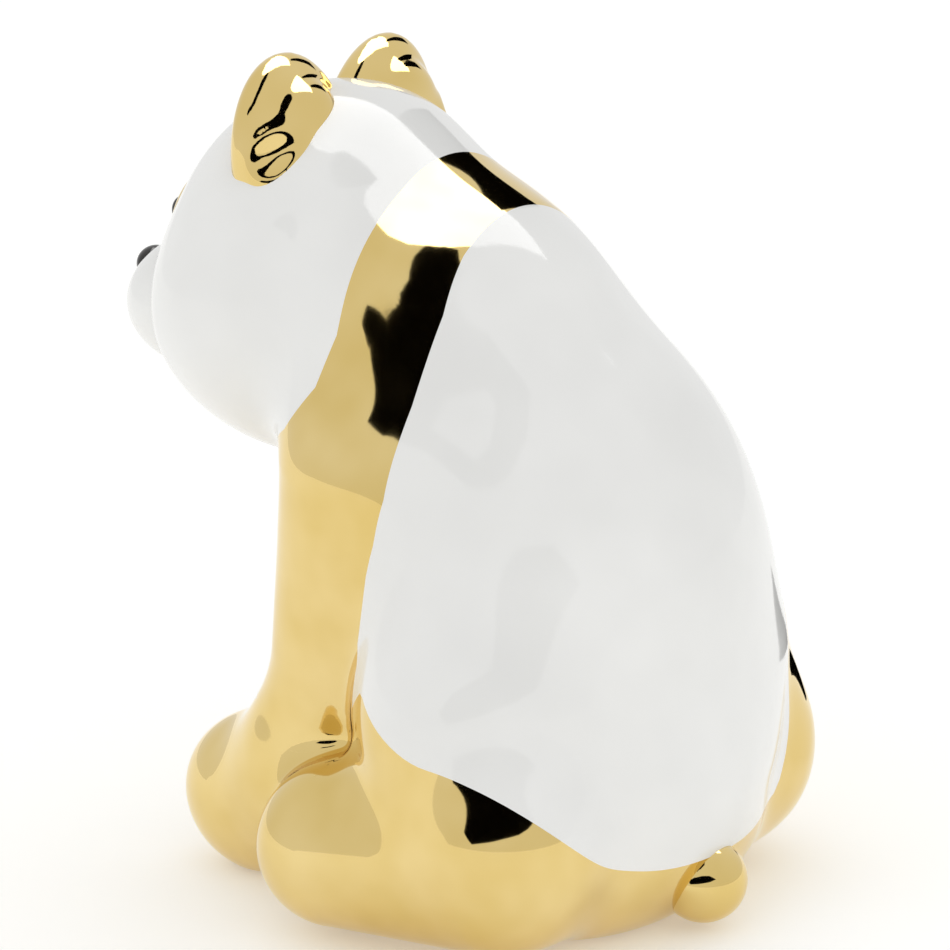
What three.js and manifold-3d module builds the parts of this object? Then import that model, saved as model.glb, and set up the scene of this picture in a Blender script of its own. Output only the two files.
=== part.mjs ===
// Seated bear coin bank in glazed ceramic: white head and back, gold ears, shoulder band and legs.
// Millimetres, +Z up. The bear looks along -Y and its left side is +X.
import * as THREE from "three";
import { mergeVertices } from "three/addons/utils/BufferGeometryUtils.js";
import Module from "manifold-3d";

const wasm = await Module();
wasm.setup();
const { Manifold, Mesh } = wasm;

// Driving dimensions.
const wall = 5; // thickness of the cast shell
const limbWall = 4.5; // thickness of the hollow legs
const gap = 0.3; // glaze-filled joint between neighbouring pieces
const baseZ = 1.6; // underside of the ceramic, which stands on felt pads
const floorPlate = 7; // thickness of the seat's bottom
const slotLength = 38; // coin slot, left to right
const slotWidth = 5.5;
const slotY = -111;
const plugY = -16; // stopper axis in the seat
const holeRadius = 13;
const recessRadius = 17.5;
const recessDepth = 3.6;
const padRadius = 7;
const patchThickness = 1.5; // how far the eye patches stand off the face
const shoulder = [42, -50, 126];
const shoulderRadius = 25;
const wrist = [32, -73, 38];
const wristRadius = 18;

// Scalar fields, negative inside. Each shape is a soft union of ellipsoids and tapered limbs.
const deg = Math.PI / 180;

function ellipsoid(centre, radii, lean = 0, roll = 0) {
  const turn = new THREE.Matrix4()
    .makeRotationFromEuler(new THREE.Euler(lean * deg, roll * deg, 0))
    .transpose();
  const c = new THREE.Vector3(...centre);
  return (p) => {
    const q = p.clone().sub(c).applyMatrix4(turn);
    const k0 = Math.hypot(q.x / radii[0], q.y / radii[1], q.z / radii[2]);
    const k1 = Math.hypot(q.x / radii[0] ** 2, q.y / radii[1] ** 2, q.z / radii[2] ** 2);
    return (k0 * (k0 - 1)) / (k1 + 1e-9);
  };
}

function limb(from, to, rFrom, rTo) {
  const a = new THREE.Vector3(...from);
  const b = new THREE.Vector3(...to);
  const axis = new THREE.Line3(a, b);
  const foot = new THREE.Vector3();
  return (p) => {
    const t = axis.closestPointToPointParameter(p, true);
    axis.at(t, foot);
    return p.distanceTo(foot) - (rFrom + (rTo - rFrom) * t);
  };
}

function soften(k, ...fields) {
  return (p) => fields.map((f) => f(p)).reduce((a, b) => {
    const h = THREE.MathUtils.clamp(0.5 + (0.5 * (b - a)) / k, 0, 1);
    return b + (a - b) * h - k * h * (1 - h);
  });
}

const torsoField = soften(
  22,
  ellipsoid([0, -11, 63], [81, 50, 66]),
  ellipsoid([0, 3, 46], [50, 38, 40]),
  ellipsoid([0, 2, 22], [60, 31, 25]),
  ellipsoid([0, -34, 73], [50, 46, 56]),
  ellipsoid([0, -28, 118], [56, 46, 70], 26),
  ellipsoid([0, -55, 165], [42, 38, 37]),
);
const headField = soften(
  14,
  ellipsoid([0, -92, 172], [53, 46, 54], -6),
  ellipsoid([0, -96, 158], [50, 45, 33]),
);
const bodyField = soften(17, headField, torsoField);
const pawField = soften(
  10,
  ellipsoid([25, -98, 20], [18, 26, 21]),
  ellipsoid([31, -78, 32], [19, 18, 24]),
);
const legField = soften(
  11,
  limb([55, 0, 29], [54, -51, 25.5], 27, 23),
  ellipsoid([58, 0, 43], [26, 25, 28]),
  ellipsoid([41, -14, 19], [19, 26, 19]),
);

// Helpers between three.js geometry and solids.
function solid(geometry) {
  const clean = geometry.clone();
  clean.deleteAttribute("uv");
  clean.deleteAttribute("normal");
  const merged = mergeVertices(clean, 1e-4);
  const triangles = [];
  const index = merged.index.array;
  for (let i = 0; i < index.length; i += 3) {
    const [a, b, c] = [index[i], index[i + 1], index[i + 2]];
    if (a !== b && b !== c && c !== a) triangles.push(a, b, c);
  }
  return new Manifold(new Mesh({
    numProp: 3,
    vertProperties: new Float32Array(merged.attributes.position.array),
    triVerts: new Uint32Array(triangles),
  }));
}

// A sphere whose points are pushed out along their rays until they meet the field's surface.
function skin(field, centre, columns, rows, inset = 0, reach = 170) {
  const ball = new THREE.SphereGeometry(1, columns, rows);
  ball.rotateX(Math.PI / 2);
  const c = new THREE.Vector3(...centre);
  const position = ball.attributes.position;
  const ray = new THREE.Vector3();
  const p = new THREE.Vector3();
  for (let i = 0; i < position.count; i++) {
    ray.fromBufferAttribute(position, i).normalize();
    let t = 1;
    for (let step = 0; step < 400 && t < reach; step++) {
      const inside = -(field(p.copy(ray).multiplyScalar(t).add(c)) + inset);
      if (inside < 0.01) break;
      t += Math.max(0.02, 0.85 * inside);
    }
    p.copy(ray).multiplyScalar(t).add(c);
    position.setXYZ(i, p.x, p.y, p.z);
  }
  return solid(ball);
}

function box(low, high) {
  const size = high.map((v, i) => v - low[i]);
  const geometry = new THREE.BoxGeometry(...size);
  geometry.translate(...low.map((v, i) => v + size[i] / 2));
  return solid(geometry);
}

// A wide prism along X from a (y, z) outline, used to part the casting into its colour zones.
function sideCut(outline) {
  const shape = new THREE.Shape(outline.map(([y, z]) => new THREE.Vector2(y, z)));
  const geometry = new THREE.ExtrudeGeometry(shape, { depth: 240, bevelEnabled: false });
  geometry.translate(0, 0, -120);
  geometry.applyMatrix4(new THREE.Matrix4().set(0, 0, 1, 0, 1, 0, 0, 0, 0, 1, 0, 0, 0, 0, 0, 1));
  return solid(geometry);
}

function turned(profile, segments = 32) {
  return new THREE.LatheGeometry(profile.map(([r, z]) => new THREE.Vector2(r, z)), segments)
    .rotateX(Math.PI / 2);
}

function disc(radius, low, high, x, y, segments = 32) {
  const profile = [[0, low], [radius, low], [radius, high], [0, high]];
  return solid(turned(profile, segments).translate(x, y, 0));
}

// Everything between a floor and a ceiling given as a height over the plan, as a displaced box.
function between(floor, ceiling) {
  const geometry = new THREE.BoxGeometry(240, 320, 1, 48, 64, 1);
  const position = geometry.attributes.position;
  for (let i = 0; i < position.count; i++) {
    const [x, y] = [position.getX(i), position.getY(i) - 40];
    const height = position.getZ(i) > 0 ? ceiling(x, y) : floor(x, y);
    position.setXYZ(i, x, y, height);
  }
  return solid(geometry);
}

// A straight limb with round ends.
function taperedLimb(from, to, rFrom, rTo, columns, rows) {
  const a = new THREE.Vector3(...from);
  const b = new THREE.Vector3(...to);
  const length = a.distanceTo(b);
  const profile = [];
  for (let i = 0; i <= rows; i++) {
    const angle = ((i / rows - 1) * Math.PI) / 2;
    profile.push(new THREE.Vector2(rFrom * Math.max(0, Math.cos(angle)), rFrom * Math.sin(angle)));
  }
  for (let i = 0; i <= rows; i++) {
    const angle = ((i / rows) * Math.PI) / 2;
    const radius = i === rows ? 0 : rTo * Math.cos(angle);
    profile.push(new THREE.Vector2(radius, length + rTo * Math.sin(angle)));
  }
  profile[0].x = 0;
  const geometry = new THREE.LatheGeometry(profile, columns);
  const turn = new THREE.Quaternion().setFromUnitVectors(
    new THREE.Vector3(0, 1, 0),
    b.clone().sub(a).normalize(),
  );
  geometry.applyQuaternion(turn);
  geometry.translate(a.x, a.y, a.z);
  return solid(geometry);
}

const mirrored = (part) => part.mirror([1, 0, 0]);
const aboveBase = box([-120, -200, baseZ], [120, 120, 300]);

// Outer and inner skins of the one big casting.
const headCentre = [0, -94, 168];
const torsoCentre = [0, -30, 95];
const neckCentre = [0, -40, 140];
const pawCentre = [28, -90, 24];
const legCentre = [52, -14, 32];
const aboveLimbFloor = box([-120, -200, baseZ + limbWall], [120, 120, 300]);
const headOuter = skin(bodyField, headCentre, 34, 24);
const headInner = skin(bodyField, headCentre, 22, 14, wall);
const neckOuter = skin(bodyField, neckCentre, 36, 26);
const torsoOuter = skin(torsoField, torsoCentre, 36, 26).intersect(aboveBase);
const torsoInner = skin(torsoField, torsoCentre, 22, 16, wall)
  .intersect(box([-120, -200, baseZ + floorPlate], [120, 120, 300]));
const frontLimb = (inset, columns, rows, pawRows) => taperedLimb(
  wrist,
  shoulder,
  wristRadius - inset,
  shoulderRadius - inset,
  columns,
  rows,
).add(skin(pawField, pawCentre, columns, pawRows, inset));
const armOuter = frontLimb(0, 20, 5, 12).intersect(aboveBase);
const armInner = frontLimb(limbWall, 12, 3, 8).intersect(aboveLimbFloor);
const armGrown = frontLimb(-gap, 20, 5, 12);
const legOuter = skin(legField, legCentre, 22, 16).intersect(aboveBase);
const legInner = skin(legField, legCentre, 14, 10, limbWall).intersect(aboveLimbFloor);

// Colour zones seen from the side.
const headLine = [[-53, 260], [-53, 166], [-57, 152], [-68, 139], [-84, 129], [-96, 118], [-180, 118]];
const headZone = sideCut([...headLine, [-180, 260]]);
const yokeBack = [[-31, 141], [-34, 122], [-38, 108]];
const yokeBottom = 104;
const yokeZone = sideCut([
  [-180, yokeBottom],
  [-38, yokeBottom],
  ...yokeBack.slice().reverse(),
  [-31, 260],
  [-53 + gap, 260],
  ...headLine.slice(1).map(([y, z]) => [y + gap, z - gap]),
]);

// Height of the edge between the white back and the gold seat: a bowl's rim, highest over the hips.
function seatLine(x, y) {
  const side = Math.abs(x);
  const forward = Math.max(0, -5 - y);
  const flank = forward < 29 ? 0.0315 * forward ** 2 : 26.5 - 1.1 * (forward - 29);
  return 23 + 7.2e-5 * side ** 3 + flank;
}
const seatZone = between(() => -10, (x, y) => Math.max(0, seatLine(x, y)));
const torsoZone = between((x, y) => Math.max(gap, seatLine(x, y) + gap), () => 270)
  .intersect(sideCut([
    [-110, -10],
    [-110, yokeBottom - gap],
    [-38 + gap, yokeBottom - gap],
    ...yokeBack.slice().reverse().map(([y, z]) => [y + gap, z]),
    [-31 + gap, 260],
    [60, 260],
    [60, -10],
  ]));

// Head: one hollow casting, open at the neck, with the coin slot through its crown.
const slot = box(
  [-slotLength / 2, slotY - slotWidth / 2, 200],
  [slotLength / 2, slotY + slotWidth / 2, 240],
);
const headShell = headOuter.intersect(headZone).subtract(headInner).subtract(slot);

// Ears: thick leaves, each with a thumb hollow low on its outer face.
const earSkin = skin(ellipsoid([20, -93.5, 204], [23.5, 10.5, 32], 0, 17), [20, -93.5, 204], 20, 14);
const earHollow = skin(ellipsoid([36, -84, 206], [6, 5, 9], 0, 22), [36, -84, 206], 10, 8);
const headGrown = skin(bodyField, headCentre, 34, 24, -gap);
const earLeft = earSkin.subtract(earHollow).subtract(headGrown);

// Face: muzzle, nose, and the gold patches that carry the eyes.
const muzzleField = ellipsoid([0, -136, 157], [26, 26, 20]);
const muzzleSkin = skin(muzzleField, [0, -136, 157], 20, 12);
const muzzle = muzzleSkin.subtract(headGrown);
const muzzleGrown = skin(muzzleField, [0, -136, 157], 20, 12, -gap);
const nose = skin(ellipsoid([0, -159.5, 166], [8, 6, 5.5], 25), [0, -159.5, 166], 14, 10)
  .subtract(muzzleGrown)
  .subtract(headGrown);
const patchFront = skin(bodyField, headCentre, 34, 24, -patchThickness - gap);
const patchOutline = ellipsoid([19.5, -130, 187], [10, 14, 12.5], 0, -20);
const patch = skin(patchOutline, [19.5, -130, 187], 18, 12).intersect(patchFront).subtract(headGrown);
const patchGrown = skin(bodyField, headCentre, 34, 24, -patchThickness - 2 * gap);
const eye = skin(ellipsoid([18, -134.2, 186.5], [3.9, 2.7, 4.1]), [18, -134.2, 186.5], 12, 8)
  .subtract(patchGrown);

// Shoulder band: the ring behind the head, widening into both shoulders and the chest.
const frontZone = sideCut([
  [-180, yokeBottom],
  [-38, yokeBottom],
  ...yokeBack.slice().reverse(),
  [-31, 260],
  [-180, 260],
]);
const shoulders = armOuter.add(mirrored(armOuter)).intersect(frontZone);
const shoulderHollow = torsoInner.add(armInner).add(mirrored(armInner));
const headSpace = headGrown.intersect(sideCut([
  ...headLine.map(([y, z]) => [y + gap, z - gap]),
  [-180, 260],
]));
const shoulderYoke = neckOuter.intersect(yokeZone)
  .add(shoulders)
  .subtract(headSpace)
  .subtract(shoulderHollow);

// Back and belly: the white shell between the shoulder band and the seat.
const torsoGrown = skin(torsoField, torsoCentre, 36, 26, -gap);
const torsoShell = torsoOuter.intersect(torsoZone).subtract(torsoInner);

// Seat: the gold bowl at the bottom, with a recess and a tapered hole for the stopper.
const plugRecess = disc(recessRadius, -5, baseZ + recessDepth, 0, plugY, 36);
const plugHole = disc(holeRadius, 0, 20, 0, plugY, 36);
const seatShell = torsoOuter.intersect(seatZone).subtract(torsoInner)
  .subtract(plugRecess)
  .subtract(plugHole);

// Legs: hollow castings open towards the body they are joined to.
const belowYoke = box([-120, -200, -10], [120, 120, yokeBottom - gap]);
const frontLeg = armOuter.intersect(belowYoke).subtract(torsoGrown).subtract(armInner);
const hindLeg = legOuter.subtract(torsoGrown).subtract(armGrown).subtract(legInner);

// Tail: a solid knob against the seat.
const tail = skin(ellipsoid([0, 31, 13.5], [12.5, 12, 11.5]), [0, 31, 13.5], 18, 12)
  .intersect(aboveBase)
  .subtract(torsoGrown);

// Rubber stopper: flange in the recess, plug in the hole, two finger pockets beside a grip bar.
const flangeLow = baseZ + 0.8;
const flangeHigh = baseZ + recessDepth - gap;
const plugTop = baseZ + floorPlate + 5;
const plugBody = solid(turned([
  [0, flangeLow],
  [recessRadius - 1, flangeLow],
  [recessRadius - 0.6, flangeLow + 0.5],
  [recessRadius - 0.6, flangeHigh],
  [holeRadius - 0.25, flangeHigh],
  [holeRadius - 0.25, baseZ + floorPlate],
  [holeRadius - 1.4, plugTop - 0.8],
  [holeRadius - 2.2, plugTop],
  [0, plugTop],
], 36).translate(0, plugY, 0));
const gripBar = box([-30, plugY - 1.6, -5], [30, plugY + 1.6, 30]);
const pockets = disc(8.5, flangeLow - 2, flangeLow + 5, 0, plugY, 24).subtract(gripBar);
const stopper = plugBody.subtract(pockets);

// Felt pads under the paws and hind legs; the lower faces are the resting plane.
const padPlaces = {
  pad_front_left: [25, -101],
  pad_front_right: [-25, -101],
  pad_rear_left: [41, -14],
  pad_rear_right: [-41, -14],
};

// Surfaces.
const white = { color: 0xf2f1ec, roughness: 0.12, metalness: 0 };
const gold = { color: 0xd9b65a, roughness: 0.08, metalness: 1 };
const black = { color: 0x15110d, roughness: 0.15, metalness: 0 };
const rubber = { color: 0xd8d4ca, roughness: 0.75, metalness: 0 };
const felt = { color: 0x6b665f, roughness: 0.95, metalness: 0 };

const pieces = [
  ["head_shell", headShell, white],
  ["ear_left", earLeft, gold],
  ["ear_right", mirrored(earLeft), gold],
  ["muzzle", muzzle, white],
  ["nose", nose, black],
  ["eye_patch_left", patch, gold],
  ["eye_patch_right", mirrored(patch), gold],
  ["eye_left", eye, black],
  ["eye_right", mirrored(eye), black],
  ["shoulder_yoke", shoulderYoke, gold],
  ["torso_shell", torsoShell, white],
  ["front_leg_left", frontLeg, gold],
  ["front_leg_right", mirrored(frontLeg), gold],
  ["seat_shell", seatShell, gold],
  ["hind_leg_left", hindLeg, gold],
  ["hind_leg_right", mirrored(hindLeg), gold],
  ["tail", tail, gold],
  ["stopper", stopper, rubber],
];
for (const [name, [x, y]] of Object.entries(padPlaces)) {
  pieces.push([name, disc(padRadius, 0, baseZ - 0.05, x, y, 24), felt]);
}

// Move everything so that the origin is under the middle of the outline.
const sizes = pieces.map(([, part]) => part.boundingBox());
const front = Math.min(...sizes.map((b) => b.min[1]));
const back = Math.max(...sizes.map((b) => b.max[1]));
const shift = -(front + back) / 2;

const bank = new THREE.Group();
bank.name = "bear_coin_bank";
for (const [name, part, look] of pieces) {
  const mesh = part.translate([0, shift, 0]).getMesh();
  const geometry = new THREE.BufferGeometry();
  geometry.setAttribute("position", new THREE.BufferAttribute(mesh.vertProperties, 3));
  geometry.setIndex(new THREE.BufferAttribute(mesh.triVerts, 1));
  geometry.computeVertexNormals();
  const node = new THREE.Mesh(geometry, new THREE.MeshStandardMaterial(look));
  node.name = name;
  bank.add(node);
}

export default bank;
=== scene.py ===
import bpy
import math
import numpy as np
from mathutils import Euler, Matrix, Vector


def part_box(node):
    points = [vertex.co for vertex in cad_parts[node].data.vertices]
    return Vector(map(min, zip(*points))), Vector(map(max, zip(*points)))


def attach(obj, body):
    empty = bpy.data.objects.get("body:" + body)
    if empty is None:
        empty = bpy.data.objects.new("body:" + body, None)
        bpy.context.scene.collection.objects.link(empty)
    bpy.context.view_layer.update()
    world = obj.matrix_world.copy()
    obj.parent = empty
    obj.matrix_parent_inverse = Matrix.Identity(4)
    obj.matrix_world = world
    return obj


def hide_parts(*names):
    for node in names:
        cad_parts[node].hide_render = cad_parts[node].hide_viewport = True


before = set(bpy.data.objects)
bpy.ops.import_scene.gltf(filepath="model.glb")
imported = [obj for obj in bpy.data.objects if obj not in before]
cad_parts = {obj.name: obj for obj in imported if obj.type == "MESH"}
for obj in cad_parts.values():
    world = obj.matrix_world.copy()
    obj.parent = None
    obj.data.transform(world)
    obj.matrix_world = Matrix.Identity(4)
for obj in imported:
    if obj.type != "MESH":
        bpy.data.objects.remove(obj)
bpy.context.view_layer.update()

# --- measures ------------------------------------------------------------------------------------
# Lengths are in millimetres in the bear's own coordinates: X to its left, the bear looks along -Y,
# and Y starts under the rump, which is 16 mm behind the stopper's axis.

MM = 0.001
STOPPER_TO_RUMP = 16
stopper_low, stopper_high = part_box("stopper")
stopper_y = (stopper_low[1] + stopper_high[1]) / 2
RUMP = Vector((0.0, stopper_y + STOPPER_TO_RUMP * MM, 0.0))

WALL = 5  # thickness of the cast shell
BASE = 1.6  # underside of the ceramic, above the felt pads
FLOOR_PLATE = 7  # thickness of the seat's bottom
YOKE_BOTTOM = 104  # where the shoulder band ends and the front legs begin
SLOT_Y = -111
SLOT_LENGTH = 38
SLOT_WIDTH = 5.5
PLUG_Y = -16
HOLE_RADIUS = 13
RECESS_RADIUS = 17.5
RECESS_DEPTH = 3.6
REACH = 130  # half width of the cutters, well clear of the bear
SHARP_EDGE = math.radians(50)  # edges that turn more than this stay crisp
OVERHEAD = 260  # top of the cutters, above the ears
AHEAD = -190  # front of the cutters, ahead of the nose


def spot(x, y, z):
    """A place on the bear, in metres in the shared frame."""
    return Vector((x, y, z)) * MM + RUMP


# --- modelling helpers ---------------------------------------------------------------------------

def let_go():
    """Nothing selected, object mode."""
    if bpy.context.object and bpy.context.object.mode != "OBJECT":
        bpy.ops.object.mode_set(mode="OBJECT")
    bpy.ops.object.select_all(action="DESELECT")


def pick(*objects):
    let_go()
    for o in objects:
        o.select_set(True)
    bpy.context.view_layer.objects.active = objects[0]


def edit(piece, what="SELECT"):
    pick(piece)
    bpy.ops.object.mode_set(mode="EDIT")
    bpy.ops.mesh.select_all(action=what)


def settle(piece):
    """Moves the object's place, turn and scale into its mesh."""
    pick(piece)
    bpy.ops.object.transform_apply(location=True, rotation=True, scale=True)
    return piece


def face_out(piece):
    edit(piece)
    bpy.ops.mesh.normals_make_consistent(inside=False)
    let_go()


def modify(piece, kind, **settings):
    pick(piece)
    bpy.ops.object.modifier_add(type=kind)
    mod = piece.modifiers[-1]
    for key, value in settings.items():
        setattr(mod, key, value)
    bpy.ops.object.modifier_apply(modifier=mod.name)
    return piece


def copy_of(piece, name):
    pick(piece)
    bpy.ops.object.duplicate(linked=False)
    twin = bpy.context.object
    twin.name = name
    return twin


def mirrored(piece, name):
    """The same shape on the bear's other side, with its faces pointing out again."""
    twin = copy_of(piece, name)
    twin.scale.x = -1.0
    settle(twin)
    face_out(twin)
    return twin


def grow(piece, amount):
    """Swells a skin along its normals by an amount (mm) that depends on the height (mm)."""
    steps = [amount(v.co.z / MM) * MM * v.normal for v in piece.data.vertices]
    for v, step in zip(piece.data.vertices, steps):
        v.co += step
    return piece


def throw_away(*objects):
    pick(*objects)
    bpy.ops.object.delete()


def cut(piece, tool, how="DIFFERENCE"):
    """Cuts with, or keeps what lies inside, another closed solid."""
    return modify(piece, "BOOLEAN", operation=how, solver="MANIFOLD", object=tool)


def lump(centre, radii, lean=0.0, roll=0.0, yaw=0.0, name="lump", columns=64, rings=32):
    """An egg of clay: a ball stretched to three radii, leaned about X, rolled and then turned."""
    let_go()
    bpy.ops.mesh.primitive_uv_sphere_add(
        segments=columns,
        ring_count=rings,
        radius=1.0,
        location=spot(*centre),
        rotation=(math.radians(lean), math.radians(roll), math.radians(yaw)),
        scale=Vector(radii) * MM,
    )
    piece = bpy.context.object
    piece.name = name
    return settle(piece)


def sausage(start, end, r_start, r_end):
    """A straight limb with round ends: a ball whose halves are drawn apart and sized."""
    let_go()
    a, b = spot(*start), spot(*end)
    bpy.ops.mesh.primitive_uv_sphere_add(segments=48, ring_count=32, radius=1.0)
    piece = bpy.context.object
    piece.name = "sausage"
    length = (b - a).length
    turn = Vector((0, 0, 1)).rotation_difference(b - a).to_matrix()
    for v in piece.data.vertices:
        upper = v.co.z > -1e-6
        place = v.co * (r_end if upper else r_start) * MM
        if upper:
            place.z += length
        v.co = a + turn @ place
    return piece


def melt(parts, voxel, passes, name):
    """Joins lumps into one skin and smooths the joins, as wet clay is blended."""
    pick(*parts)
    if len(parts) > 1:
        bpy.ops.object.join()
    piece = bpy.context.object
    piece.name = name
    modify(piece, "REMESH", mode="VOXEL", voxel_size=voxel * MM, adaptivity=0.0)
    modify(piece, "SMOOTH", factor=0.5, iterations=passes)
    return piece


def press(piece, centre, push, radius):
    """Thumb work: points near a spot are pushed by a vector (mm), fading out to the radius."""
    middle = spot(*centre)
    move = Vector(push) * MM
    for v in piece.data.vertices:
        near = (v.co - middle).length / (radius * MM)
        if near < 1.0:
            v.co += move * (1.0 - near * near) ** 2
    return piece


def slab(outline, name):
    """A wide prism along X from a (y, z) outline."""
    let_go()
    bpy.ops.mesh.primitive_circle_add(vertices=len(outline), radius=0.1, fill_type="NGON")
    piece = bpy.context.object
    piece.name = name
    for v, (y, z) in zip(piece.data.vertices, outline):
        v.co = spot(-REACH, y, z)
    edit(piece)
    bpy.ops.mesh.extrude_region_move(
        TRANSFORM_OT_translate={"value": (2 * REACH * MM, 0.0, 0.0)},
    )
    let_go()
    face_out(piece)
    return piece


def under(ceiling, name):
    """Everything below a height given over the plan: a grid lifted to it and drawn down."""
    let_go()
    bpy.ops.mesh.primitive_grid_add(
        x_subdivisions=104,
        y_subdivisions=104,
        size=2 * REACH * MM,
        location=(0, 0, 0),
    )
    piece = bpy.context.object
    piece.name = name
    for v in piece.data.vertices:
        x, y = v.co.x / MM, v.co.y / MM - 30
        v.co = spot(x, y, ceiling(x, y))
    edit(piece)
    bpy.ops.mesh.extrude_region_move(TRANSFORM_OT_translate={"value": (0.0, 0.0, -0.3)})
    let_go()
    face_out(piece)
    return piece


def block(length, width, low, high, y, name):
    """A box on the bear's middle line, cut with or rounded afterwards."""
    let_go()
    bpy.ops.mesh.primitive_cube_add(size=1.0, location=spot(0, y, (low + high) / 2))
    piece = bpy.context.object
    piece.name = name
    piece.scale = (length * MM, width * MM, (high - low) * MM)
    return settle(piece)


def puck(radius, low, high, name, columns=64):
    """A round cutter on the stopper's axis."""
    let_go()
    bpy.ops.mesh.primitive_cylinder_add(
        vertices=columns,
        radius=radius * MM,
        depth=(high - low) * MM,
        location=spot(0, PLUG_Y, (low + high) / 2),
    )
    piece = bpy.context.object
    piece.name = name
    return settle(piece)


def soften(piece):
    pick(piece)
    bpy.ops.object.shade_smooth_by_angle(angle=SHARP_EDGE)


# --- the casting: lumps of clay blended into one skin --------------------------------------------
# The lumps are joined and remeshed, and the skin is then drawn onto a field, negative inside,
# in which the same lumps run together with soft joins, so that the glaze mirrors cleanly.

def egg(p, centre, radii, lean=0.0):
    """The field of a lump, leaned about X; p holds one point (mm) to a row."""
    turn = np.array(Euler((math.radians(lean), 0.0, 0.0)).to_matrix())
    q = (p - np.array(centre, float)) @ turn
    radii = np.array(radii, float)
    k0 = np.linalg.norm(q / radii, axis=1)
    k1 = np.linalg.norm(q / radii**2, axis=1) + 1e-9
    return k0 * (k0 - 1) / k1


def limb(p, start, end, r_start, r_end):
    """The field of a straight limb with round ends."""
    a, b = np.array(start, float), np.array(end, float)
    t = np.clip((p - a) @ (b - a) / ((b - a) @ (b - a)), 0, 1)
    return np.linalg.norm(p - a - t[:, None] * (b - a), axis=1) - (r_start + (r_end - r_start) * t)


def blend(a, b, k):
    """A soft union of two fields; k is the width of the join."""
    h = np.clip(0.5 + 0.5 * (b - a) / k, 0, 1)
    return b + (a - b) * h - k * h * (1 - h)


def casting_field(p):
    """The whole bear without its ears, face and tail; q mirrors what comes in pairs."""
    q = p.copy()
    q[:, 0] = abs(q[:, 0])
    f = egg(p, (0, -11, 63), (80, 49, 66))
    f = blend(f, egg(p, (0, 3, 46), (50, 38, 40)), 11)
    f = blend(f, egg(p, (0, 2, 22), (60, 31, 25)), 11)
    f = blend(f, egg(p, (0, -34, 73), (50, 46, 56)), 17)
    f = blend(f, egg(p, (0, -28, 118), (56, 45.5, 70), 26), 25)
    f = blend(f, egg(p, (0, -15, 112), (55, 43, 52), 24), 22)
    f = blend(f, egg(p, (0, -55, 165), (42, 38, 37)), 25)
    head = egg(p, (0, -92, 172), (53, 46, 53), -6)
    head = blend(head, egg(p, (0, -97, 160), (51, 45, 34)), 14)
    f = blend(f, head, 17)
    paw = blend(egg(q, (25.5, -98, 22), (18, 26, 21)), egg(q, (31, -78, 32), (19, 18, 24)), 10)
    arm = limb(q, (42, -50, 126), (32, -73, 38), 25, 18)
    arm = blend(arm, egg(q, (28, -53, 154), (23, 19, 32), 10), 20)
    arm = blend(arm, limb(q, (32, -73, 38), (26.5, -97, 23), 18, 16), 10)
    crease = np.clip((q[:, 2] - 60) / 50, 0, 1)
    f = blend(f, blend(arm, paw, 22), 6 + 12 * crease)
    thigh = limb(q, (54.5, 1, 30), (60, -48.5, 25.5), 27, 23)
    f = blend(f, blend(thigh, egg(q, (53.5, 1, 42), (26.5, 25.5, 27)), 12), 9)
    f = blend(f, egg(q, (41, -14, 19), (19, 26, 19)), 7)
    slot = np.abs(p - np.array([0, SLOT_Y, 228])) - np.array([SLOT_LENGTH, SLOT_WIDTH, 44]) / 2
    slot = np.linalg.norm(np.maximum(slot + 2.5, 0), axis=1) - 2.5
    return -blend(-f, slot, 3)


def points_of(piece):
    """A mesh's points in the bear's coordinates (mm), one to a row."""
    flat = np.empty(3 * len(piece.data.vertices), np.float32)
    piece.data.vertices.foreach_get("co", flat)
    return (flat.reshape(-1, 3).astype(float) - np.array(RUMP)) / MM


def gradient(field, p, step=0.2):
    """The field's slope at each point."""
    sides = []
    for axis in np.eye(3) * step:
        sides.append((field(p + axis) - field(p - axis)) / (2 * step))
    return np.stack(sides, 1)


def draw_onto(piece, field, rounds=14):
    """Moves every point of a skin along the field's slope until it lies on the surface."""
    p = points_of(piece)
    for _ in range(rounds):
        slope = gradient(field, p)
        size = np.sum(slope * slope, axis=1) + 1e-6
        p -= np.clip(field(p) / size, -2, 2)[:, None] * slope
    flat = (p * MM + np.array(RUMP)).astype(np.float32).reshape(-1)
    piece.data.vertices.foreach_set("co", flat)
    piece.data.update()
    return piece


def mirror_finish(piece, field, tolerance=0.08):
    """Gives the outer skin the field's own normals, so cuts between pieces don't show in gloss."""
    mesh = piece.data
    p = points_of(piece)
    outside = np.abs(field(p)) < tolerance
    slope = gradient(field, p)
    slope /= np.linalg.norm(slope, axis=1, keepdims=True) + 1e-9
    normals = np.zeros((len(mesh.loops), 3))
    for face in mesh.polygons:
        if all(outside[i] for i in face.vertices) and slope[face.vertices[0]] @ face.normal > 0.5:
            for loop in face.loop_indices:
                normals[loop] = slope[mesh.loops[loop].vertex_index]
    mesh.normals_split_custom_set([tuple(n) for n in normals])


def body_lumps(inset=0.0):
    """The torso, the neck and the head; the hollow inside is the same lumps, each a wall smaller."""
    rough = [
        ((0, -11, 63), (82, 51, 66), 0),
        ((0, 3, 46), (51, 38.5, 41), 0),
        ((0, 2, 22), (61, 31.5, 25), 0),
        ((0, -34, 73), (51, 47, 57), 0),
        ((0, -28, 118), (57, 47, 71), 26),
        ((0, -15, 112), (56, 44, 53), 24),
        ((0, -55, 165), (43, 39, 38), 0),
        ((0, -92, 172), (54, 47, 55), -6),
        ((0, -96, 158), (51, 46, 34), 0),
    ]
    return [lump(c, [r - inset for r in radii], lean) for c, radii, lean in rough]


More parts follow.
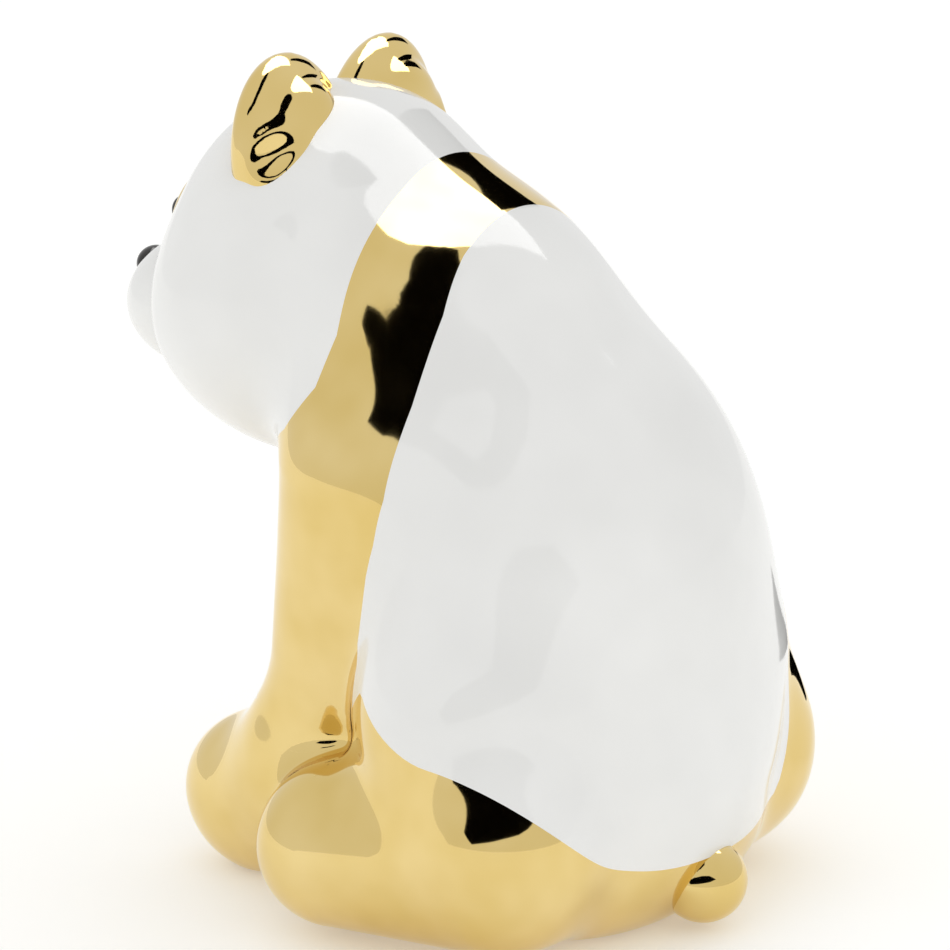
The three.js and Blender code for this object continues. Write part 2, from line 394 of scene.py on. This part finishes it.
def front_leg_lumps():
    return [
        sausage((32, -73, 38), (42, -50, 126), 18, 25.5),
        sausage((32, -73, 38), (26.5, -97, 23), 18, 16),
        lump((28, -53, 154), (23, 19, 32), lean=10),
        lump((25.5, -98, 22), (18, 26, 21)),
        lump((31, -78, 32), (19, 18, 24)),
    ]


def hind_leg_lumps():
    return [
        sausage((54.5, 1, 30), (60, -48.5, 25.5), 27, 23),
        lump((53.5, 1, 42), (26.5, 25.5, 27)),
        lump((41, -14, 19), (19, 26, 19)),
    ]


body = melt(body_lumps(), voxel=3.6, passes=26, name="body")
modify(body, "SUBSURF", levels=1, render_levels=1)
arm = melt(front_leg_lumps(), voxel=2.2, passes=14, name="arm")
thigh = melt(hind_leg_lumps(), voxel=2.4, passes=16, name="thigh")
for side in (-1, 1):
    press(arm, (25.5 + side * 5.5, -122, 13), (0, 2.4, 0), 7)
arm_twin = mirrored(arm, "arm_twin")
thigh_twin = mirrored(thigh, "thigh_twin")
arm_spread = copy_of(arm, "arm_spread")
thigh_spread = copy_of(thigh, "thigh_spread")
knob = lump((0, 31, 14), (12.5, 12.5, 12), lean=-15, name="knob")
casting = melt([body, arm, arm_twin, thigh, thigh_twin], voxel=1.5, passes=7, name="casting")


def rounded_bar(length, width, low, high, y, name):
    """An upright bar with half-round ends."""
    bar = block(length, width, low, high, y, name)
    edit(bar, "DESELECT")
    bpy.ops.mesh.select_mode(type="EDGE")
    let_go()
    for edge in bar.data.edges:
        a, b = (bar.data.vertices[i].co for i in edge.vertices)
        edge.select = abs(a.z - b.z) > 1e-6
    bpy.ops.object.mode_set(mode="EDIT")
    bpy.ops.mesh.bevel(offset=width * 0.49 * MM, segments=8, affect="EDGES")
    let_go()
    return bar


# The coin slot is cut while the clay is soft: the last melt rounds its lips.
coin_cut = rounded_bar(SLOT_LENGTH + 1, SLOT_WIDTH + 1, 206, 250, SLOT_Y, "coin_cut")
cut(casting, coin_cut)
throw_away(coin_cut)
casting = melt([casting], voxel=1.5, passes=2, name="casting")
draw_onto(casting, casting_field)
base_cut = block(2 * REACH, 2.4 * REACH, BASE - 50, BASE, 0, "base_cut")
cut(casting, base_cut)
cut(knob, base_cut)
cut(knob, casting)

cavity = melt(body_lumps(WALL), voxel=4, passes=8, name="cavity")
plate_top = BASE + FLOOR_PLATE
plate_cut = block(2 * REACH, 2.4 * REACH, plate_top - 50, plate_top, 0, "plate_cut")
cut(cavity, plate_cut)

# --- ears and face -------------------------------------------------------------------------------

leaf = lump((19.6, -93.3, 204), (23.8, 10.5, 32), roll=17, columns=96, rings=64)
root = lump((25.5, -88, 206), (19.5, 11, 16), columns=96, rings=64)
bridge = lump((23, -88.5, 213), (15, 10, 16), columns=96, rings=64)
ear = melt([leaf, root, bridge], voxel=0.9, passes=26, name="ear_left_leaf")
press(ear, (23, -105, 214), (0, 3.4, 0), 20)
for step in range(4):  # the hollow on the outer face: a thumb drawn up and inwards
    press(ear, (44 - 1.4 * step, -85 + 1.4 * step, 208 + 1.6 * step), (-1.3, -0.9, -0.4), 7)
modify(ear, "SMOOTH", factor=0.5, iterations=6)
cut(ear, casting)
muzzle = lump((0, -136, 157), (26.4, 26.2, 20.2), name="muzzle_dome", columns=96, rings=64)
nose = lump((0, -158.8, 165), (6.6, 5, 5.4), lean=25, name="nose_button")
cut(nose, muzzle)
cut(muzzle, casting)
patch = lump(
    (17.2, -130, 185.5),
    (10.5, 5.2, 13),
    lean=-14,
    roll=-20,
    yaw=18,
    name="eye_patch_left_glaze",
    columns=96,
    rings=48,
)
eye = lump((16.6, -134.8, 186), (3.9, 3, 4.1), name="eye_left_bead")
cut(eye, patch)
cut(patch, casting)

# --- stopper and felt pads -----------------------------------------------------------------------

PLUG_RADIUS = HOLE_RADIUS - 0.25
PLUG_TOP = plate_top + 5
PLUG_PROFILE = [  # radius and height of each ring, from the flange up to the rounded nose
    (16.4, 2.4),
    (16.9, 2.9),
    (16.9, 4.4),
    (16.4, 4.9),
    (PLUG_RADIUS + 0.5, 4.9),
    (PLUG_RADIUS, 5.3),
    (PLUG_RADIUS, 6.0),
    (PLUG_RADIUS - 0.6, 6.4),
    (PLUG_RADIUS - 0.6, 7.0),
    (PLUG_RADIUS, 7.4),
    (PLUG_RADIUS, plate_top),
    (PLUG_RADIUS - 1.1, PLUG_TOP - 0.8),
    (PLUG_RADIUS - 2.0, PLUG_TOP),
]
PAD_RADIUS = 7
PAD_TOP = BASE - 0.05
PAD_EDGE = 0.4  # the felt's cut edge is rubbed round by this
FRONT_PAD_X, FRONT_PAD_Y = 25, -101  # under the front paws
REAR_PAD_X, REAR_PAD_Y = 41, -14  # under the hind legs


def turned(profile, x, y, name, columns=96):
    """A turned piece: a disc that is drawn up and scaled ring by ring."""
    let_go()
    radius, height = profile[0]
    bpy.ops.mesh.primitive_circle_add(
        vertices=columns,
        radius=radius * MM,
        fill_type="NGON",
        location=spot(x, y, height),
    )
    piece = bpy.context.object
    piece.name = name
    settle(piece)
    edit(piece)
    for next_radius, next_height in profile[1:]:
        bpy.ops.mesh.extrude_region_move(
            TRANSFORM_OT_translate={"value": (0, 0, (next_height - height) * MM)},
        )
        scale = next_radius / radius
        bpy.ops.transform.resize(value=(scale, scale, 1), center_override=spot(x, y, next_height))
        radius, height = next_radius, next_height
    let_go()
    face_out(piece)
    return piece


plug = turned(PLUG_PROFILE, 0, PLUG_Y, "stopper_plug")
pockets = puck(8.5, 0.4, 7.4, "pockets", columns=48)
grip = block(60, 3.2, -11, 19, PLUG_Y, "grip")
cut(pockets, grip)
cut(plug, pockets)
modify(plug, "BEVEL", width=0.3 * MM, segments=3, limit_method="ANGLE", angle_limit=SHARP_EDGE)
throw_away(pockets, grip)

FELT_PROFILE = [
    (PAD_RADIUS - PAD_EDGE, 0.0),
    (PAD_RADIUS, PAD_EDGE),
    (PAD_RADIUS, PAD_TOP - PAD_EDGE),
    (PAD_RADIUS - PAD_EDGE, PAD_TOP),
]
felt = turned(FELT_PROFILE, FRONT_PAD_X, FRONT_PAD_Y, "pad_front_left_felt", columns=48)

# --- colour zones --------------------------------------------------------------------------------

HEAD_LINE = [  # the back edge of the white head, down to the chest
    (-53, OVERHEAD),
    (-53, 166),
    (-57, 152),
    (-68, 139),
    (-84, 129),
    (-96, 118),
    (AHEAD, 118),
]
YOKE_BACK = [  # the back edge of the shoulder band
    (-31, OVERHEAD),
    (-30, 186),
    (-28, 172),
    (-28, 150),
    (-30, 126),
    (-33, 113),
    (-36, YOKE_BOTTOM),
]
LEG_BACK = [  # the back edge of the front legs' gold
    (-36, YOKE_BOTTOM),
    (-38.5, 94),
    (-41, 84),
    (-41, 77),
    (-37, 72),
    (-14, 52),
    (-14, -5),
]
RIM_HEIGHT = 23  # the seat's gold rim, over the tail
FLANK_START = -5  # Y where the rim starts to climb forwards
FLANK_LENGTH = 29  # and how far forwards it climbs
FLANK_RISE = 26.5
HIP_START = 40  # on the bear's right the rim climbs higher, from this far out
HIP_WIDTH = 20
HIP_RISE = 58
HIP_TOP = 88


def seat_line(x, y):
    """Height of the edge between the white back and the gold seat, like a bowl's rim."""
    side = abs(x)
    forward = max(0.0, FLANK_START - y)
    dip = 1.1 * max(0.0, 1 - side / 28)
    flank = 0.0315 * forward**2
    if forward >= FLANK_LENGTH:
        flank = FLANK_RISE - dip * (forward - FLANK_LENGTH)
    height = RIM_HEIGHT + 7.2e-5 * side**3 + flank
    if x < -HIP_START:
        rise = min(1.0, (-x - HIP_START) / HIP_WIDTH)
        height = min(max(height, HIP_TOP), height + HIP_RISE * rise * rise * (3 - 2 * rise))
    return max(0.0, height)


head_block = slab(HEAD_LINE + [(AHEAD, OVERHEAD)], "head_block")
front_block = slab(YOKE_BACK + [(AHEAD, YOKE_BOTTOM), (AHEAD, OVERHEAD)], "front_block")
leg_block = slab(LEG_BACK + [(AHEAD, -5), (AHEAD, YOKE_BOTTOM)], "leg_block")
seat_block = under(seat_line, "seat_block")

cut(casting, cavity)
head = copy_of(casting, "head_shell_cast")
cut(head, head_block, "INTERSECT")
yoke = copy_of(casting, "shoulder_yoke_cast")
cut(yoke, front_block, "INTERSECT")
cut(yoke, head_block)
lower = copy_of(casting, "lower")
cut(lower, front_block)

grow(arm_spread, lambda z: 3.5 + 7 * min(1.0, max(0.0, (z - 56) / 10)))
grow(thigh_spread, lambda z: 1.6)
arm_spread_twin = mirrored(arm_spread, "arm_spread_twin")
thigh_spread_twin = mirrored(thigh_spread, "thigh_spread_twin")

pieces = {}
for side, spread in (("left", arm_spread), ("right", arm_spread_twin)):
    cut(spread, leg_block, "INTERSECT")
    leg = copy_of(lower, f"front_leg_{side}_cast")
    cut(leg, spread, "INTERSECT")
    cut(lower, spread)
    pieces[f"front_leg_{side}"] = leg
torso = copy_of(lower, "torso_shell_cast")
cut(torso, seat_block)
cut(lower, seat_block, "INTERSECT")
for side, spread in (("left", thigh_spread), ("right", thigh_spread_twin)):
    leg = copy_of(lower, f"hind_leg_{side}_cast")
    cut(leg, spread, "INTERSECT")
    cut(lower, spread)
    pieces[f"hind_leg_{side}"] = leg
seat = lower
seat.name = "seat_shell_cast"

recess = puck(RECESS_RADIUS, -5, BASE + RECESS_DEPTH, "recess")
hole = puck(HOLE_RADIUS, -5, 20, "hole")
cut(seat, recess)
cut(seat, hole)
throw_away(recess, hole)

pieces.update(
    head_shell=head,
    shoulder_yoke=yoke,
    torso_shell=torso,
    seat_shell=seat,
    ear_left=ear,
    ear_right=mirrored(ear, "ear_right_leaf"),
    muzzle=muzzle,
    nose=nose,
    eye_patch_left=patch,
    eye_patch_right=mirrored(patch, "eye_patch_right_glaze"),
    eye_left=eye,
    eye_right=mirrored(eye, "eye_right_bead"),
    tail=knob,
    stopper=plug,
    pad_front_left=felt,
    pad_front_right=mirrored(felt, "pad_front_right_felt"),
)
for side, x in (("left", REAR_PAD_X), ("right", -REAR_PAD_X)):
    pad = copy_of(felt, f"pad_rear_{side}_felt")
    pad.location = Vector((x - FRONT_PAD_X, REAR_PAD_Y - FRONT_PAD_Y, 0)) * MM
    pieces[f"pad_rear_{side}"] = settle(pad)
throw_away(casting, cavity, base_cut, plate_cut, head_block, front_block, leg_block, seat_block)
throw_away(arm_spread, arm_spread_twin, thigh_spread, thigh_spread_twin)
for piece in pieces.values():
    soften(piece)
    if piece.name.endswith("_cast"):
        mirror_finish(piece, casting_field)

# --- materials -----------------------------------------------------------------------------------

def linear(code):
    """An sRGB hex colour as linear RGBA."""
    parts = [int(code[i:i + 2], 16) / 255 for i in (1, 3, 5)]
    return [c / 12.92 if c <= 0.04045 else ((c + 0.055) / 1.055) ** 2.4 for c in parts] + [1.0]


def add_node(tree, kind, inputs=None, **settings):
    node = tree.nodes.new(kind)
    for key, value in settings.items():
        setattr(node, key, value)
    for key, value in (inputs or {}).items():
        if isinstance(value, bpy.types.NodeSocket):
            tree.links.new(value, node.inputs[key])
        else:
            node.inputs[key].default_value = value
    return node


def finish(name, colour, **values):
    """A new material and its shader; values are set on the shader's own sockets."""
    material = bpy.data.materials.new(name)
    material.use_nodes = True
    shader = material.node_tree.nodes["Principled BSDF"]
    shader.inputs["Base Color"].default_value = linear(colour)
    for key, value in values.items():
        shader.inputs[key.replace("_", " ")].default_value = value
    return material, material.node_tree, shader


def grain(tree, size, detail=2.0, stretch=(1, 1, 1)):
    """Noise in object space whose blobs are about this many millimetres across."""
    place = add_node(tree, "ShaderNodeTexCoord")
    lay = add_node(tree, "ShaderNodeMapping", {"Vector": place.outputs["Object"], "Scale": stretch})
    noise = add_node(
        tree,
        "ShaderNodeTexNoise",
        {"Vector": lay.outputs[0], "Scale": 1 / (size * MM), "Detail": detail},
    )
    return noise.outputs["Fac"]


def ripple(tree, shader, heights):
    """Bumps one on another; each is (pattern, height in mm)."""
    normal = None
    for pattern, height in heights:
        inputs = {"Height": pattern, "Distance": height * MM, "Strength": 1.0}
        if normal:
            inputs["Normal"] = normal
        normal = add_node(tree, "ShaderNodeBump", inputs).outputs["Normal"]
    tree.links.new(normal, shader.inputs["Normal"])


def shades(tree, socket, pattern, dark, light):
    """Colour that wanders between two hex values."""
    ramp = add_node(tree, "ShaderNodeValToRGB", {"Fac": pattern})
    ramp.color_ramp.elements[0].position = 0.3
    ramp.color_ramp.elements[1].position = 0.7
    ramp.color_ramp.elements[0].color = linear(dark)
    ramp.color_ramp.elements[1].color = linear(light)
    tree.links.new(ramp.outputs["Color"], socket)


def sheen_range(tree, socket, pattern, low, high):
    """Roughness that wanders between two values."""
    spread = add_node(tree, "ShaderNodeMapRange", {"Value": pattern, "To Min": low, "To Max": high})
    tree.links.new(spread.outputs[0], socket)


def gold_lustre():
    """Bright gold fired over a glazed casting: a mirror that wavers where the glaze ran."""
    material, tree, shader = finish("gold_lustre_fired", "#E6CB85", Metallic=1.0)
    shades(tree, shader.inputs["Base Color"], grain(tree, 26), "#E0C47B", "#EBD292")
    sheen_range(tree, shader.inputs["Roughness"], grain(tree, 6), 0.035, 0.065)
    ripple(tree, shader, [(grain(tree, 17, 1.0), 0.018), (grain(tree, 2.2, 2.0), 0.0012)])
    return material


def white_glaze():
    """Glossy white glaze over a smooth casting: an even white with a wet shine and soft pooling."""
    material, tree, shader = finish("white_glaze_fired", "#EFEFED", IOR=1.52)
    shades(tree, shader.inputs["Base Color"], grain(tree, 38), "#ECECEA", "#F3F3F1")
    sheen_range(tree, shader.inputs["Roughness"], grain(tree, 9), 0.06, 0.1)
    ripple(tree, shader, [(grain(tree, 22, 1.0), 0.025), (grain(tree, 2.4, 2.0), 0.0015)])
    return material


def black_glaze():
    """Black glaze on the nose and eyes: deep, wet and faintly brown in the light."""
    material, tree, shader = finish("black_glaze_fired", "#14110E", IOR=1.52)
    shades(tree, shader.inputs["Base Color"], grain(tree, 3), "#100E0C", "#1A1612")
    sheen_range(tree, shader.inputs["Roughness"], grain(tree, 2), 0.06, 0.12)
    ripple(tree, shader, [(grain(tree, 4, 1.0), 0.01)])
    return material


def moulded_rubber():
    """Soft PVC rubber from a mould: pale, dull, with a fine spark-eroded grain and some dust."""
    material, tree, shader = finish("soft_rubber_moulded", "#D8D4CA", IOR=1.5)
    shades(tree, shader.inputs["Base Color"], grain(tree, 5, 4.0), "#CFCABE", "#DEDAD0")
    sheen_range(tree, shader.inputs["Roughness"], grain(tree, 1.5), 0.5, 0.66)
    # The real grain is near 0.1 mm; it is drawn at 0.5 mm so that it shows.
    ripple(tree, shader, [(grain(tree, 0.5, 2.0), 0.03)])
    return material


def wool_felt():
    """Pressed wool felt: matt grey with short tangled fibres of varied tone, with a painted
    highlight that makes the raised fibres paler.
    """
    material, tree, shader = finish("wool_felt_pressed", "#8E8980", Roughness=0.95, Sheen_Weight=0.3)
    strands = grain(tree, 0.8, 6.0, (1, 3, 1))
    crossing = grain(tree, 0.8, 6.0, (3, 1, 1))
    # The strands pattern is both the fibre tone and the bump height, so the pale end of this colour
    # is a painted highlight on the raised fibres.
    shades(tree, shader.inputs["Base Color"], strands, "#7B766E", "#A39E95")
    ripple(tree, shader, [(strands, 0.12), (crossing, 0.12)])
    return material


SLOTS = {  # every other piece is gold
    "head_shell": "white_glaze",
    "muzzle": "white_glaze",
    "torso_shell": "white_glaze",
    "nose": "black_glaze",
    "eye_left": "black_glaze",
    "eye_right": "black_glaze",
    "stopper": "rubber",
    "pad_front_left": "felt",
    "pad_front_right": "felt",
    "pad_rear_left": "felt",
    "pad_rear_right": "felt",
}
LOOKS = {
    "white_glaze": white_glaze(),
    "gold_lustre": gold_lustre(),
    "black_glaze": black_glaze(),
    "rubber": moulded_rubber(),
    "felt": wool_felt(),
}
for node, piece in pieces.items():
    slot = SLOTS.get(node, "gold_lustre")
    piece.data.materials.clear()
    piece.data.materials.append(LOOKS[slot])
    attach(piece, "stopper" if node == "stopper" else "body")
    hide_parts(node)

# --- camera and studio ---------------------------------------------------------------------------

def studio_camera():
    """Looks at the bear from behind its left shoulder."""
    azimuth, height = math.radians(55), math.radians(14)
    distance = 1204  # mm
    seen_width = 266  # mm across the picture at that distance
    back = Vector((
        math.sin(azimuth) * math.cos(height),
        math.cos(azimuth) * math.cos(height),
        math.sin(height),
    ))
    right = Vector((-math.cos(azimuth), math.sin(azimuth), 0))
    up = back.cross(right)
    target = spot(0, 0, 0) + (right * -37.24 + up * 120.4) * MM
    data = bpy.data.cameras.new("studio_camera")
    data.sensor_width = 36.0
    data.lens = data.sensor_width * distance / seen_width
    camera = bpy.data.objects.new("studio_camera", data)
    bpy.context.collection.objects.link(camera)
    turn = Matrix((right, up, back)).transposed().to_4x4()
    camera.matrix_world = Matrix.Translation(target + back * distance * MM) @ turn
    bpy.context.scene.camera = camera


def set_material(name, colour, **values):
    """A plain material for the set."""
    return finish(name, colour, **values)[0]


studio_camera()
white = linear("#FFFFFF")
let_go()
bpy.ops.mesh.primitive_plane_add(size=6.0, location=(0, 0, 0))
floor = bpy.context.object
floor.name = "floor"
floor.data.materials.append(
    set_material(
        "white_paper",
        "#F7F7F5",
        Roughness=0.9,
        Emission_Color=white,
        Emission_Strength=0.25,
    )
)
world = bpy.data.worlds.new("studio")
bpy.context.scene.world = world
world.use_nodes = True
background = world.node_tree.nodes["Background"]
background.inputs["Color"].default_value = white
background.inputs["Strength"].default_value = 0.84
bpy.context.scene.view_settings.view_transform = "Standard"

black_card = set_material("black_card", "#050403", Roughness=1.0, Specular_IOR_Level=0.0)
softbox_cloth = set_material(
    "softbox_cloth",
    "#FFFFFF",
    Roughness=1.0,
    Emission_Color=white,
    Emission_Strength=3.0,
)
MIDDLE = spot(0, -20, 90)  # the cards are placed by their directions from here


def card(corners, distance, name, material=black_card):
    """A card beside the bear, seen only in its gloss. Corners: azimuth and height in degrees."""
    let_go()
    bpy.ops.mesh.primitive_circle_add(vertices=len(corners), radius=0.1, fill_type="NGON")
    flag = bpy.context.object
    flag.name = name
    for v, (azimuth, height) in zip(flag.data.vertices, corners):
        a, h = math.radians(azimuth), math.radians(height)
        way = Vector((math.sin(a) * math.cos(h), math.cos(a) * math.cos(h), math.sin(h)))
        v.co = MIDDLE + way * distance * MM
    flag.data.materials.append(material)
    flag.visible_camera = False
    flag.visible_diffuse = False
    flag.visible_shadow = False


card([(5, 77), (15, 81), (38, 81), (58, 74), (66, 61), (74, 49), (84, 42.5), (93, 40), (99, 34),
      (90, 33), (84, 35), (72, 38), (60, 43), (44, 54), (24, 67)], 900, "flag_over_camera")
card([(92, 5), (83, 15), (56, 25), (35, 24), (20, 13), (37, 8), (66, 3), (84, 0)], 900,
     "flag_round_camera")
card([(-93, 62), (-103, 61), (-110, 50), (-114, 38), (-104, 36), (-97, 49)], 360, "flag_behind")
card([(-86, -9), (-90, -13), (-95, -18), (-86, -18), (-81, -17), (-83, -13)], 230, "flag_low")
card([(-60, 46), (-140, 46), (-165, 68), (145, 78), (104, 80), (60, 80), (20, 80), (-20, 74)], 1100,
     "softbox", softbox_cloth)
